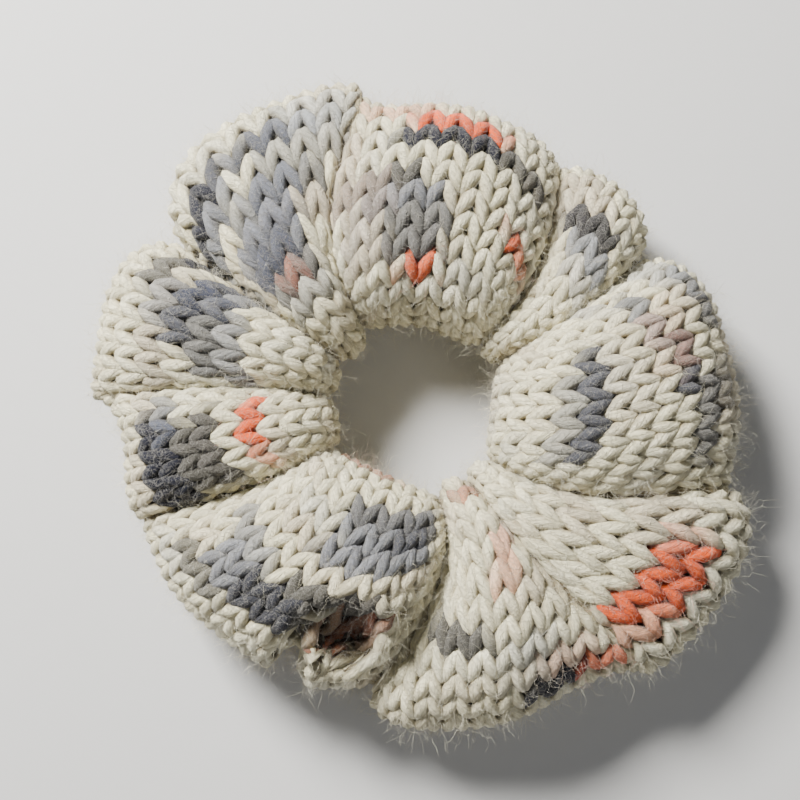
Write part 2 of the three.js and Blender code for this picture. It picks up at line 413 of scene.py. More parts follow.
def map_tubes(mesh: Mesh, lengths: Array, sides: int, columns: int = 1) -> None:
    """Give equal tubes with closed ends their bake strips and their twist map.

    Args:
        mesh: The mesh, its points in order of tube, ring and side.
        lengths: Distance along each tube at each ring, in metres.
        sides: Points round each ring.
        columns: How many tubes lie side by side on the bake map.
    """
    count, rings = lengths.shape
    corners = values_of(mesh.loops, "vertex_index")
    sizes = values_of(mesh.polygons, "loop_total")
    starts = np.cumsum(sizes) - sizes
    face_of = np.repeat(np.arange(len(sizes)), sizes)
    side = corners % sides
    ring = (corners // sides) % rings
    tube = corners // (sides * rings)
    (first, low), (last, high) = ([way.reduceat(value, starts)[face_of] for value in (ring, side)]
                                  for way in (np.minimum, np.maximum))
    wall = first != last
    wraps = wall & (low == 0) & (high == sides - 1) & (side == 0)
    if sides == 3:
        wraps &= ~np.logical_or.reduceat(side == 1, starts)[face_of]
    around = (side + wraps * sides) / sides
    turn = 2 * math.pi * side / sides
    u = np.where(wall, ring / (rings - 1) * 0.9 + 0.01, 0.955 + 0.02 * np.cos(turn))
    v = np.where(wall, 0.04 + 0.92 * around, 0.28 + 0.44 * (ring > rings / 2) + 0.15 * np.sin(turn))
    u = (tube % columns + u) / columns
    v = (tube // columns + v) / math.ceil(count / columns)
    unwrap(mesh, "OFBake", np.stack([u, v], axis=1))
    unwrap(mesh, "twist", np.stack([around, lengths[tube, ring] / 0.01], axis=1))


def tubes(name: str, lines: Array, radii: Array, sides: int, stuff: Stuff) -> Piece:
    """Sweep round tubes along lines of points.

    Args:
        name: The piece's name.
        lines: Points as (tube, ring, 3), in metres.
        radii: Radius at each point, as (tube, ring).
        sides: Points round each ring.
        stuff: The finish.

    Returns:
        One object with all the tubes.
    """
    count, rings, _ = lines.shape
    ahead = unit(np.gradient(lines, axis=1))
    side = unit(np.cross(ahead, np.array([0.02, 0.03, 1.0])))
    rise = np.cross(side, ahead)
    turn = 2 * math.pi * np.arange(sides) / sides
    ring = side[:, :, None] * np.cos(turn)[:, None] + rise[:, :, None] * np.sin(turn)[:, None]
    points = (lines[:, :, None] + ring * radii[:, :, None, None]).reshape(-1, 3)
    tube, step, k = np.meshgrid(np.arange(count), np.arange(rings - 1), np.arange(sides), indexing="ij")
    base = (tube * rings + step) * sides
    near, far = base + k, base + (k + 1) % sides
    faces = np.stack([near, near + sides, far + sides, far], axis=-1).reshape(-1, 4).tolist()
    for first in range(0, len(points), rings * sides):
        last = first + (rings - 1) * sides
        faces.append(list(range(first, first + sides)))
        faces.append(list(range(last + sides - 1, last - 1, -1)))
    made = put(name, points, faces, stuff)
    map_tubes(made.data, travelled(lines), sides)
    return made


def grown(base: Piece, group: bpy.types.NodeTree, sizes: dict[str, object], name: str) -> Piece:
    """Run a Geometry Nodes tree on an object and keep the result as a plain mesh.

    Args:
        base: The object the tree works on; it is left without the modifier.
        group: The tree.
        sizes: Values for the tree's inputs, by name.
        name: The new piece's name.

    Returns:
        A new object with the tree's result.
    """
    modifier = base.modifiers.new(name, "NODES")
    modifier.node_group = group
    for item in group.interface.items_tree:
        if item.item_type == "SOCKET" and item.in_out == "INPUT" and item.name in sizes:
            modifier[item.identifier] = sizes[item.name]
    graph = bpy.context.evaluated_depsgraph_get()
    mesh = bpy.data.meshes.new_from_object(base.evaluated_get(graph))
    base.modifiers.remove(modifier)
    mesh.name = name
    mesh.shade_smooth()
    points = values_of(mesh.vertices, "co", 3, np.float32)
    points[2::3] = np.maximum(points[2::3], 0.05 * MM)
    mesh.vertices.foreach_set("co", points)
    made = bpy.data.objects.new(name, mesh)
    bpy.context.scene.collection.objects.link(made)
    return made


def discard(made: Piece) -> None:
    """Remove a helper object and its mesh."""
    mesh = made.data
    bpy.data.objects.remove(made)
    bpy.data.meshes.remove(mesh)


@dataclass(frozen=True)
class Fold:
    """A fold of the cover: bearings at the hole and the edge, reach and depth."""

    rim: float
    edge: float
    reach: float
    depth: tuple[float, float]

    def turned(self, by: float) -> "Fold":
        """The same fold a number of degrees further round."""
        return Fold(self.rim + by, self.edge + by, self.reach, self.depth)


@dataclass(frozen=True)
class Lobe:
    """A puffed lobe of the cover, with its bodies before and after its middle."""

    name: str
    stitches: int
    reach: float
    puff: float
    split: bool = False

    def body(self, second: bool) -> str:
        """Name of the body that holds the lobe's first or second half."""
        return "lobe_" + self.name + (("_b" if second else "_a") if self.split else "")


@dataclass
class Cloth:
    """Where the knitted cloth lies, by stitch round the ring and row round the tube."""

    tie_ring: float = 21.5
    tie_cord: float = 2.1
    wall: float = 2.4
    clearance: float = 0.8
    flounce: float = 36.0
    puff: float = 14.0
    peak_share: float = 0.24
    hole_puff: float = 3.0
    sag: float = 1.5
    drop: float = 4.7
    rows: int = 26
    stitch: float = 5.3
    row: float = 4.1
    seam_angle: float = math.radians(222)
    crest_share: float = 0.86
    crease: float = 0.9
    bow_power: float = 0.5
    pleat: float = 0.8
    curl: tuple[float, float] = (-11.3, -38.4)
    curl_depth: float = 9.0
    curl_radius: float = 2.9
    notch: float = 244.5
    notch_depth: float = 7.0
    notch_width: float = 1.8
    notch_from: float = 36.0
    notch_ramp: float = 9.0
    lip: float = 2.6
    lip_at: float = 2.3
    lip_spread: float = 7.0
    crowded: float = 0.65
    tuck: float = 0.8
    cloth_room: float = 1.2
    folds: tuple[Fold, ...] = (
        Fold(42, 61, 0.7, (1.0, 1.0)),
        Fold(124, 100, 1.0, (1.0, 0.25)),
        Fold(150, 145, 0.72, (0.5, 1.0)),
        Fold(176, 179, 0.94, (0.9, 0.8)),
        Fold(210, 203, 0.8, (1.0, 0.8)),
        Fold(284, 258, 0.72, (1.0, 1.0)),
        Fold(304, 310, 1.04, (0.9, 0.15)),
        Fold(322, 344, 0.95, (0.9, 0.35)),
        Fold(386, 394, 0.7, (0.9, 0.9)),
    )
    lobes: tuple[Lobe, ...] = (
        Lobe("1", 10, 0.86, 1.10),
        Lobe("2", 8, 1.06, 0.88),
        Lobe("3", 8, 0.97, 0.92),
        Lobe("4", 6, 0.8, 0.88),
        Lobe("5", 12, 0.82, 1.15, True),
        Lobe("6", 12, 0.91, 0.95),
        Lobe("7", 6, 1.11, 0.80),
        Lobe("8", 12, 0.91, 1.05),
        Lobe("9", 6, 0.85, 0.80),
    )
    middle: Array = field(default_factory=lambda: np.zeros(2))

    def __post_init__(self) -> None:
        """Work out what follows from the sizes, and find the ring's middle."""
        self.half = self.tie_cord + self.clearance + self.wall
        self.height = self.half + self.drop
        self.fold_rim = self.tie_ring - self.half
        self.lobe_rim = self.fold_rim - self.hole_puff
        self.peak = self.tie_ring + self.flounce * self.peak_share
        ties = [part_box(name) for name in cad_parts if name.startswith("tie_braid")]
        low = np.min([np.array(box[0]) for box in ties], axis=0)
        high = np.max([np.array(box[1]) for box in ties], axis=0)
        self.middle = (low + high)[:2] / 2 / MM
        angle = np.linspace(0, 2 * math.pi, 1441)
        steps = np.hypot(*np.diff(self.crest(self.seam_angle - angle, 1.0, 1.0)))
        self.turns = angle
        self.travel = np.concatenate([[0], np.cumsum(steps)]) / steps.sum()
        self.firsts = np.concatenate([[0], np.cumsum([lobe.stitches for lobe in self.lobes])])

    def angle(self, row: Array) -> Array:
        """Angle round the cross-section at a row, from the seam up the hole side."""
        return self.seam_angle - np.interp(row / self.rows, self.travel, self.turns)

    def egg(self, angle: Array, centre: float, inner: float, reach: float, top: float, bottom: float,
            roundness: float) -> Array:
        """Egg-shaped cross-section.

        Args:
            angle: Angles round it, from the outer edge over the top.
            centre: Distance of its tallest point from the hole's axis.
            inner: Distance of its hole side.
            reach: Its share of the flounce.
            top: Height above the tie.
            bottom: Depth below the tie.
            roundness: 2 for an ellipse, more for squarer.

        Returns:
            Distances from the axis, then heights.
        """
        outer = self.tie_ring + self.flounce * reach
        power = 2 / roundness
        across = np.sign(np.cos(angle)) * np.abs(np.cos(angle)) ** power
        up = np.sign(np.sin(angle)) * np.abs(np.sin(angle)) ** power
        r = centre + across * np.where(across > 0, outer - centre, centre - inner)
        return np.stack([r, self.height + up * np.where(up > 0, top, bottom)])

    def crest(self, angle: Array, reach: float, puff: float) -> Array:
        """Cross-section along the crest of a lobe."""
        return self.egg(angle, self.peak, self.lobe_rim, reach, self.puff * puff, self.height + self.sag, 2.3)

    def at_fold(self, angle: Array, index: int) -> Array:
        """Cross-section at a fold, between open and drawn tight round the tie."""
        fold = self.folds[index % LOBES]
        puff = (self.lobes[index - 1].puff + self.lobes[index % LOBES].puff) / 2
        loose = self.crest(angle, fold.reach, puff)
        tight = self.egg(angle, self.tie_ring, self.fold_rim, fold.reach, self.half, self.half, 2.0)
        depth = fold.depth[0] + (fold.depth[1] - fold.depth[0]) * ((1 + np.cos(angle)) / 2)
        return loose + (tight - loose) * depth

    def bearing(self, fold: Fold, r: Array) -> Array:
        """Bearing of a fold, in radians, at a distance from the axis."""
        share = np.clip((r - self.fold_rim) / (self.tie_ring + self.flounce - self.fold_rim), 0, 1)
        share = share * share * (3 - 2 * share)
        return np.radians(fold.rim + (fold.edge - fold.rim) * share)

    def sides(self, index: int) -> tuple[Fold, Fold]:
        """The folds before and after a lobe."""
        after = self.folds[(index + 1) % LOBES]
        return self.folds[index], after.turned(360) if index == LOBES - 1 else after

    def lobe_point(self, index: int, across: Array, angle: Array) -> Array:
        """Points on one lobe.

        Args:
            index: The lobe.
            across: From -1 at its first fold to 1 at its second.
            angle: Angles round the cross-section.

        Returns:
            Points as (..., 3), in millimetres about the ring's axis.
        """
        lobe = self.lobes[index]
        before, after = self.sides(index)
        crest = self.crest(angle, lobe.reach, lobe.puff)
        first, second = self.at_fold(angle, index), self.at_fold(angle, index + 1)
        share = (across + 1) / 2
        fold = first + (second - first) * share
        width = crest[0] * (self.bearing(after, crest[0]) - self.bearing(before, crest[0])) / 2
        swell = np.tanh(1.3 * width / np.maximum(np.hypot(*(crest - fold)), 0.01))
        bow = np.clip(1 - across * across, 0, 1) ** self.bow_power * swell
        r, z = fold + (crest - fold) * bow
        start = self.bearing(before, r)
        turn = start + (self.bearing(after, r) - start) * share
        return np.stack([r * np.cos(turn), r * np.sin(turn), np.maximum(z, 0.0)], axis=-1)

    def half_lobe(self, index: int, second: bool, detail: int) -> Array:
        """Half a lobe, with whole stitches on its crest and the spare ones drawn into its fold.

        Args:
            index: The lobe.
            second: Whether it is the half towards the next fold.
            detail: Points to a stitch and to a row.

        Returns:
            Points as (row, column, 3), from the lower to the higher bearing.
        """
        turns = np.linspace(0, math.pi / 2, 97)
        across = np.sin(turns) if second else -np.sin(turns)
        angle = self.angle(np.arange(self.rows * detail + 1) / detail)[:, None]
        fine = self.lobe_point(index, across[None, :] + 0 * angle, angle + 0 * turns[None, :])
        count = self.lobes[index].stitches // 2
        place = np.linspace(0, 1, count * detail + 1)
        rows = []
        for line, distance in zip(fine, travelled(fine)):
            crowd = max(self.stitch * self.crest_share * count / distance[-1], 1.02)
            soft = min(self.crease / distance[-1], 0.25)
            spread = 1 - soft * np.logaddexp(0.0, (1 - crowd * place) / soft)
            spread = (spread - spread[0]) / (spread[-1] - spread[0])
            least = min(0.2 * count / distance[-1], 0.4)
            wanted = (spread * (1 - least) + place * least) * distance[-1]
            rows.append(np.stack([np.interp(wanted, distance, axis) for axis in line.T], axis=1))
        return np.stack(rows) if second else np.stack(rows)[:, ::-1]

    def lay(self, detail: int = 4) -> None:
        """Lay the whole cloth out as a closed grid, with its pleats, its curl and its outward directions.

        Args:
            detail: Points to a stitch and to a row.
        """
        halves = [self.half_lobe(index, second, detail)[:-1, :-1]
                  for index in range(LOBES) for second in (False, True)]
        grid = np.concatenate(halves, axis=1)
        self.detail = detail
        half = detail // 2
        self.tight = np.linalg.norm(np.roll(grid, -half, axis=1) - np.roll(grid, half, axis=1), axis=2)
        self.tight /= self.stitch
        self.crowd = np.clip((self.crowded - self.tight) / 0.5, 0, 1)
        out = self.outward(grid)
        x, y, z = np.moveaxis(grid, 2, 0)
        stitch = np.arange(grid.shape[1]) / detail
        row = np.arange(grid.shape[0])[:, None] / detail
        r = np.hypot(x, y)
        spot = np.hypot(x - self.curl[0], y - self.curl[1])
        sunk = self.curl_depth * np.exp(-((spot / self.curl_radius) ** 2) / 2)
        lip = self.lip * np.exp(-((spot - self.lip_at * self.curl_radius) ** 2) / self.lip_spread)
        aside = np.angle(np.exp(1j * (np.arctan2(y, x) - math.radians(self.notch)))) * r
        drawn = self.notch_depth * np.exp(-((aside / self.notch_width) ** 2))
        drawn = drawn * np.clip((r - self.notch_from) / self.notch_ramp, 0, 1)
        swell = 0.5 * np.sin(2 * math.pi * (stitch / 16 + 0.2)) * np.sin(2 * math.pi * row / 13)
        swell = swell + 0.4 * np.sin(2 * math.pi * (stitch / 5 + 0.6)) * np.cos(2 * math.pi * row / 26)
        room = np.hypot(r - self.tie_ring, z - self.height) - self.tie_cord - self.cloth_room
        moved = grid + out * (swell * (1 - self.crowd) - drawn - self.tuck * self.crowd)[:, :, None]
        moved[:, :, 2] += np.where(out[:, :, 2] > 0.1, lip - sunk, 0.0)
        self.out = self.outward(moved)
        depth = np.clip(room * self.pleat, 0.2, 0.7) * self.crowd * (0.5 - 0.5 * np.cos(math.pi * stitch))
        self.base = moved + np.array([*self.middle, 0.0])
        self.grid = self.base - self.out * depth[:, :, None]
        self.grid[:, :, 2] = np.maximum(self.grid[:, :, 2], 0.4)
        self.inset = np.clip(room, 0.2, 1.8) * self.crowd

    def outward(self, grid: Array) -> Array:
        """Outward directions of the closed grid; where it is crowded they point away from the tie."""
        out = np.cross(*(np.roll(grid, -1, axis=axis) - np.roll(grid, 1, axis=axis) for axis in (0, 1)))
        for axis in (0, 1, 0, 1):
            out = out + 0.5 * (np.roll(out, 1, axis=axis) + np.roll(out, -1, axis=axis))
        out = unit(out)
        bearing = np.arctan2(grid[:, :, 1], grid[:, :, 0])
        away = unit(grid - np.stack([self.tie_ring * np.cos(bearing), self.tie_ring * np.sin(bearing),
                                     np.full(bearing.shape, self.height)], axis=2))
        share = np.where((out * away).sum(axis=2, keepdims=True) < -0.4, 1.0, self.crowd[:, :, None])
        for _ in range(2):
            share = np.maximum(share, 0.5 * (np.roll(share, 1, axis=1) + np.roll(share, -1, axis=1)))
        return unit(out * (1 - share) + away * share)

    def ends(self, index: int) -> tuple[Array, Array, list[float]]:
        """The first and last column of a span about the ring's middle, and their bearings."""
        _, columns = self.window(index, 0)
        lines = [self.grid[:, column, :2] - self.middle for column in (columns[0], columns[-1])]
        return *lines, [math.atan2(*line.mean(axis=0)[::-1]) for line in lines]

    def window(self, index: int, margin: int) -> tuple[Array, Array]:
        """Grid rows and columns of a span, wrapped, with a margin in stitches and rows on every side."""
        first = self.first_stitch(index) - margin
        last = first + self.count(index) + 2 * margin
        columns = np.arange(first * self.detail, last * self.detail + 1) % self.grid.shape[1]
        rows = np.arange(-margin * self.detail, (self.rows + margin) * self.detail + 1) % self.grid.shape[0]
        return rows, columns

    def count(self, index: int) -> int:
        """Stitches in a span, from the middle of one lobe to the middle of the next."""
        return (self.lobes[index].stitches + self.lobes[(index + 1) % LOBES].stitches) // 2

    def first_stitch(self, index: int) -> int:
        """Number of the first stitch of a span, counted round the ring."""
        return int(self.firsts[index] + self.lobes[index].stitches // 2)

    def bodies(self, index: int) -> tuple[str, str]:
        """The two bodies a span is held by."""
        return self.lobes[index].body(True), self.lobes[(index + 1) % LOBES].body(False)

    def nearest(self, bearing: float, r: float) -> tuple[float, float]:
        """Stitch and row of the point of the upper side that is seen at a place.

        Args:
            bearing: Degrees round the ring.
            r: Distance from the ring's middle, in millimetres.

        Returns:
            Stitch round the ring and row round the tube.
        """
        x = self.middle[0] + r * math.cos(math.radians(bearing))
        y = self.middle[1] + r * math.sin(math.radians(bearing))
        away = np.hypot(self.grid[:, :, 0] - x, self.grid[:, :, 1] - y)
        away = away + np.where(self.out[:, :, 2] < 0.0, 99.0, 0.0)
        row, column = np.unravel_index(np.argmin(away), away.shape)
        return column / self.detail, row / self.detail


class Dye(Enum):
    """Colours the wool was dyed."""

    CREAM = (0.80, 0.755, 0.53)
    WHITE = (0.86, 0.84, 0.66)
    GREIGE = (0.50, 0.41, 0.31)
    TAUPE = (0.34, 0.27, 0.22)
    PALE = (0.42, 0.44, 0.45)
    GREY = (0.135, 0.150, 0.195)
    SLATE = (0.045, 0.051, 0.078)
    NAVY = (0.011, 0.012, 0.022)
    ORANGE = (0.80, 0.11, 0.020)
    PEACH = (0.80, 0.40, 0.24)
    RUST = (0.36, 0.09, 0.035)
    BROWN = (0.18, 0.09, 0.05)


@dataclass(frozen=True)
class Splash:
    """A length of dyed yarn as it falls on the cloth.

    Args:
        bearing: Degrees round the ring.
        r: Distance from the ring's middle, in millimetres.
        stitches: How wide it is.
        rows: How many rows it takes.
        dye: Its colour.
        strength: How much of the colour shows.
    """

    bearing: float
    r: float
    stitches: float
    rows: int
    dye: Dye
    strength: float = 1.0


@dataclass
class DyedYarn:
    """Colour of the yarn at each stitch and row."""

    cloth: Cloth
    seed: int = 11
    steps: int = 12
    stray_runs: int = 9
    sight: tuple[float, float] = (math.radians(-25), math.radians(205))
    splashes: tuple[Splash, ...] = tuple(Splash(*row) for row in (
        (80, 46, 3.4, 1, Dye.ORANGE), (81, 42, 4.4, 1, Dye.NAVY), (93, 50, 3.5, 1, Dye.PEACH, 0.6),
        (66, 43, 3.0, 1, Dye.NAVY, 0.85), (120, 44, 3.0, 1, Dye.SLATE, 0.8),
        (128, 42, 3.2, 1, Dye.GREY, 0.8), (122, 36, 3.0, 1, Dye.TAUPE, 0.6),
        (160, 45, 2.2, 1, Dye.GREY, 0.7), (174, 44, 2.4, 1, Dye.TAUPE, 0.5),
        (150, 46, 2.4, 1, Dye.NAVY, 0.85), (216, 46, 2.6, 1, Dye.NAVY, 0.8),
        (91, 21, 1.3, 1, Dye.ORANGE, 0.95), (52, 28, 1.6, 1, Dye.ORANGE, 0.95),
        (47, 26, 1.2, 1, Dye.PEACH, 0.7), (102, 34, 3.6, 1, Dye.NAVY, 0.9),
        (98, 30, 3.0, 1, Dye.GREY, 0.9), (94, 24, 2.6, 2, Dye.SLATE, 0.85),
        (108, 40, 2.6, 3, Dye.GREIGE, 0.7), (108, 28, 2.2, 4, Dye.TAUPE, 0.6),
        (118, 53, 2.8, 1, Dye.NAVY, 0.95), (113, 49, 4.0, 2, Dye.GREY, 0.6),
        (107, 54, 3.0, 2, Dye.PALE, 0.6), (140, 47, 3.0, 2, Dye.GREY, 0.9),
        (146, 42, 4.0, 1, Dye.NAVY, 0.95), (150, 37, 3.6, 1, Dye.SLATE, 0.95),
        (134, 36, 3.4, 2, Dye.GREY, 0.9), (136, 30, 3.0, 2, Dye.SLATE, 0.8),
        (150, 29, 4.0, 1, Dye.GREY, 0.85), (136, 23, 3.0, 1, Dye.GREY, 0.6),
        (158, 41, 3.0, 1, Dye.SLATE, 0.95), (164, 36, 3.8, 1, Dye.SLATE, 0.85),
        (168, 30, 3.6, 1, Dye.GREY, 0.8), (138, 27, 1.2, 1, Dye.RUST, 0.55), (198, 42, 4.2, 2, Dye.NAVY),
        (196, 37, 3.6, 2, Dye.NAVY, 0.9), (186, 40, 2.0, 1, Dye.GREY, 0.7), (189, 26, 2.6, 1, Dye.ORANGE),
        (197, 26, 2.4, 1, Dye.ORANGE), (204, 27, 1.2, 1, Dye.PEACH, 0.7), (236, 12, 2.6, 1, Dye.RUST, 0.8),
        (266, 19, 4.2, 1, Dye.SLATE, 0.9), (261, 24, 4.4, 2, Dye.GREY, 0.9),
        (268, 23, 2.2, 1, Dye.NAVY, 0.7), (300, 16, 2.2, 1, Dye.RUST, 0.8),
        (228, 40, 4.4, 2, Dye.GREY, 0.9), (236, 40, 3.0, 2, Dye.NAVY, 0.85),
        (245, 36, 3.6, 1, Dye.NAVY, 0.9), (254, 40, 1.5, 2, Dye.RUST, 0.85),
        (253, 38, 1.2, 1, Dye.BROWN, 0.8), (220, 34, 3.4, 1, Dye.GREY, 0.7),
        (279, 38, 2.8, 1, Dye.NAVY, 0.9), (298, 50, 2.6, 1, Dye.NAVY, 1),
        (305, 51, 2.0, 1, Dye.ORANGE, 0.8), (302, 46, 2.4, 1, Dye.PEACH, 0.4),
        (298, 31, 1.4, 2, Dye.PEACH, 0.75), (306, 32, 2.0, 2, Dye.BROWN, 0.7),
        (324, 53, 3.4, 1, Dye.ORANGE, 1), (321, 49, 4.0, 1, Dye.ORANGE, 1),
        (315, 53, 1.8, 1, Dye.PEACH, 0.9), (336, 44, 3.0, 2, Dye.GREIGE, 0.5),
        (8, 44, 2.8, 1, Dye.SLATE, 0.95), (356, 47, 3.4, 1, Dye.SLATE, 0.85),
        (2, 50, 2.4, 1, Dye.NAVY, 0.7), (357, 29, 4.4, 1, Dye.SLATE, 0.95),
        (352, 25, 3.6, 1, Dye.GREY, 0.6), (17, 37, 2.6, 1, Dye.GREY, 0.8),
        (22, 50, 3.2, 1, Dye.SLATE, 0.85), (28, 44, 2.6, 2, Dye.PALE, 0.6),
        (45, 42, 3.0, 1, Dye.NAVY, 0.95), (41, 38, 2.4, 1, Dye.SLATE, 0.9),
        (34, 34, 3.0, 2, Dye.PALE, 0.5), (52, 46, 3.2, 2, Dye.GREIGE, 0.6),
        (5, 36, 4.0, 2, Dye.GREIGE, 0.3), (12, 40, 3.0, 2, Dye.PEACH, 0.25),
    ))

    def chart(self) -> Array:
        """Colour at every step of yarn in every row.

        Returns:
            Colours as (row, step, 3), with the steps counted round the whole ring.
        """
        cloth = self.cloth
        chance = np.random.default_rng(self.seed)
        stitches = int(cloth.firsts[-1])
        wide = stitches * self.steps
        chart = np.tile(np.array(Dye.CREAM.value), (cloth.rows, wide, 1))
        step = np.arange(wide) / self.steps
        tones = []

        def wave(cycles: int) -> Array:
            """A wave round the ring that starts by chance."""
            return np.sin(2 * math.pi * (step / stitches * cycles + chance.random()))

        for row in range(cloth.rows):
            waves = np.zeros(wide)
            greys = np.zeros(wide)
            for cycles in (4, 7, 13, 22):
                waves += wave(cycles) / cycles ** 0.4
                greys += wave(cycles) / cycles ** 0.4
            self.blend(chart[row], np.clip(waves - 0.2, 0, 1) * 0.5, Dye.WHITE)
            self.blend(chart[row], np.clip(-waves - 0.3, 0, 1) * 0.5, Dye.GREIGE)
            self.blend(chart[row], np.clip(greys - 0.6, 0, 1) * 0.55, Dye.PALE)
            tone = np.ones(wide)
            for cycles in (37, 53, 71, 97, 139):
                tone += 0.055 * wave(cycles)
            tones.append(tone)
        beneath = cloth.angle(np.arange(cloth.rows) + 0.5)
        for row in range(cloth.rows):
            if self.sight[0] < beneath[row] < self.sight[1]:
                continue
            for _ in range(self.stray_runs):
                dye = chance.choice(list(Dye)[4:10])
                middle = chance.random() * stitches
                wide_here = 1.0 + 3.0 * chance.random()
                self.run(chart, row, middle, wide_here, dye, 0.55 + 0.45 * chance.random())
        for splash in self.splashes:
            stitch, row = cloth.nearest(splash.bearing, splash.r)
            for n in range(splash.rows):
                line = int(math.floor(row + n - (splash.rows - 1) / 2)) % cloth.rows
                middle = stitch + chance.uniform(-0.35, 0.35)
                wide_here = splash.stitches * chance.uniform(0.85, 1.1)
                self.run(chart, line, middle, wide_here, splash.dye, splash.strength)
        return chart * np.array(tones)[:, :, None]

    def run(self, chart: Array, row: int, middle: float, wide: float, dye: Dye, strength: float) -> None:
        """Dye a length of yarn in one row.

        Args:
            chart: The colours so far, changed in place.
            row: The row.
            middle: Stitch at its middle.
            wide: Its length in stitches.
            dye: Its colour.
            strength: How much of the colour shows.
        """
        stitches = int(self.cloth.firsts[-1])
        step = np.arange(chart.shape[1]) / self.steps
        away = np.abs((step - middle + stitches / 2) % stitches - stitches / 2)
        share = np.clip((wide / 2 - away) / 0.4 + 0.5, 0, 1) * strength
        self.blend(chart[row % chart.shape[0]], share, dye)

    @staticmethod
    def blend(line: Array, share: Array, dye: Dye) -> None:
        """Mix a dye into a row, in place."""
        line += (np.array(dye.value) - line) * share[:, None]


